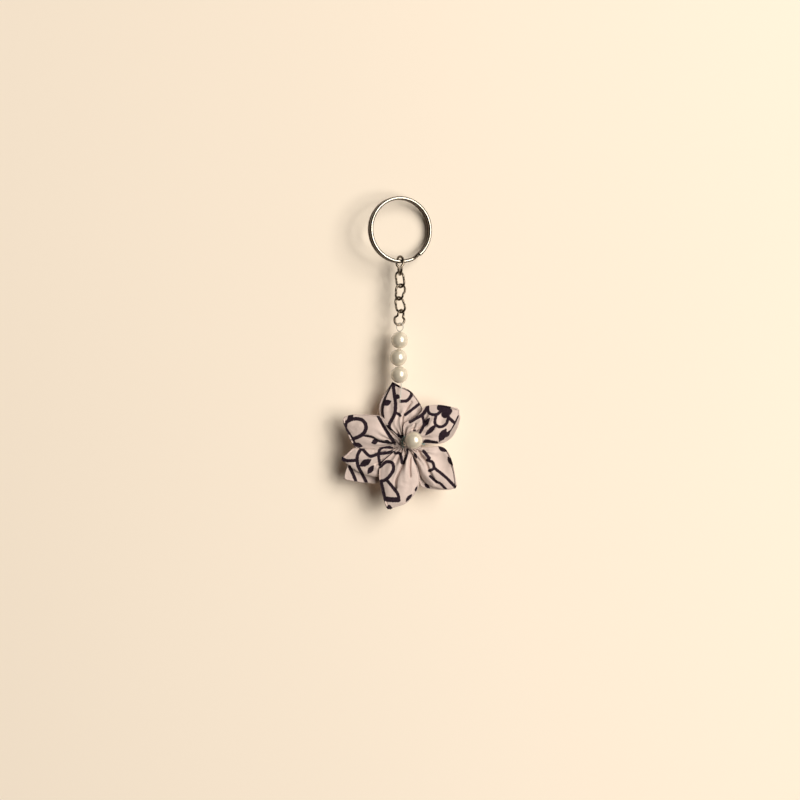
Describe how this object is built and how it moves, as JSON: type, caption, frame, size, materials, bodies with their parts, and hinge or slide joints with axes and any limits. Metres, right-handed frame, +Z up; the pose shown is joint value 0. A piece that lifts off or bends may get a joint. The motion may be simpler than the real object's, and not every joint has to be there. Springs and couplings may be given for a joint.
{
  "type": "flower charm keyring",
  "caption": "Split ring with a short chain of twisted links, a strand of strung pearl beads and a gathered six-petal cloth flower with a pearl sewn in its middle.",
  "frame": {"origin": "the hang point: the point on the inside of the split ring's rim, at its top, where a hook or nail carries the charm", "axes": "+Z up along the hanging charm, -Y out of the front of the flower, +X to the flower's right as it is seen from the front"},
  "size_m": [0.0529, 0.0182, 0.1407],
  "materials": {
    "ring_steel": "polished nickel plate",
    "chain_steel": "nickel plate, slightly dull",
    "nylon": "clear nylon line",
    "pearl": "pearlescent lacquer",
    "printed_cotton": "printed plain weave cotton",
    "sewing_thread": "spun sewing thread"
  },
  "bodies": {
    "ring": {"split_ring": "ring_steel"},
    "link_1": {"chain_link_1": "chain_steel"},
    "link_2": {"chain_link_2": "chain_steel"},
    "link_3": {"chain_link_3": "chain_steel"},
    "link_4": {"chain_link_4": "chain_steel"},
    "link_5": {"chain_link_5": "chain_steel"},
    "line_upper": {"bead_line_upper": "nylon"},
    "bead_1": {"pearl_1": "pearl"},
    "line_middle": {"bead_line_middle": "nylon"},
    "bead_2": {"pearl_2": "pearl"},
    "line_lower": {"bead_line_lower": "nylon"},
    "bead_3": {"pearl_3": "pearl"},
    "flower": {"petal_top": "printed_cotton", "petal_upper_left": "printed_cotton", "petal_lower_left": "printed_cotton", "petal_bottom": "printed_cotton", "petal_lower_right": "printed_cotton", "petal_upper_right": "printed_cotton", "centre_pearl": "pearl", "pearl_thread": "sewing_thread", "gathering_thread": "sewing_thread", "line_tail": "nylon"}
  },
  "joints": [
    {"name": "ring_to_link_1", "type": "hinge", "parent": "ring", "child": "link_1", "pos_m": [0, 0, -0.02869], "axis": [0.9272, 0.3746, 0], "range_deg": [-30, 30]},
    {"name": "link_1_to_link_2", "type": "hinge", "parent": "link_1", "child": "link_2", "pos_m": [0, 0, -0.03369], "axis": [0.2079, -0.9781, 0], "range_deg": [-30, 30]},
    {"name": "link_2_to_link_3", "type": "hinge", "parent": "link_2", "child": "link_3", "pos_m": [0.00072, 0, -0.03815], "axis": [0.8109, 0.5592, -0.1724], "range_deg": [-30, 30]},
    {"name": "link_3_to_link_4", "type": "hinge", "parent": "link_3", "child": "link_4", "pos_m": [-0.00084, 0, -0.04388], "axis": [0.7211, 0.6691, 0.1798], "range_deg": [-30, 30]},
    {"name": "link_4_to_link_5", "type": "hinge", "parent": "link_4", "child": "link_5", "pos_m": [0.00084, 0, -0.04958], "axis": [0.4851, 0.866, -0.121], "range_deg": [-30, 30]},
    {"name": "link_5_to_line", "type": "hinge", "parent": "link_5", "child": "line_upper", "pos_m": [0, 0, -0.05644], "axis": [0.9272, 0.3746, 0], "range_deg": [-30, 30]},
    {"name": "bead_1_spin", "type": "hinge", "parent": "line_upper", "child": "bead_1", "pos_m": [-0.0002, 0, -0.06316], "axis": [0.0262, 0, 0.9997], "continuous": true},
    {"name": "line_bend", "type": "hinge", "parent": "line_upper", "child": "line_middle", "pos_m": [-0.0003, 0, -0.06708], "axis": [1, 0, 0], "range_deg": [-15, 15]},
    {"name": "bead_2_spin", "type": "hinge", "parent": "line_middle", "child": "bead_2", "pos_m": [-0.00075, 0, -0.07098], "axis": [0.1132, 0, 0.9936], "continuous": true},
    {"name": "line_twist", "type": "hinge", "parent": "line_middle", "child": "line_lower", "pos_m": [-0.00119, 0, -0.07488], "axis": [-0.225, 0, 0.9744], "range_deg": [-90, 90]},
    {"name": "bead_3_spin", "type": "hinge", "parent": "line_lower", "child": "bead_3", "pos_m": [-0.00031, 0, -0.07871], "axis": [-0.225, 0, 0.9744], "continuous": true},
    {"name": "flower_swing", "type": "hinge", "parent": "line_lower", "child": "flower", "pos_m": [0.00057, 0, -0.08253], "axis": [1, 0, 0], "range_deg": [-30, 30]}
  ]
}
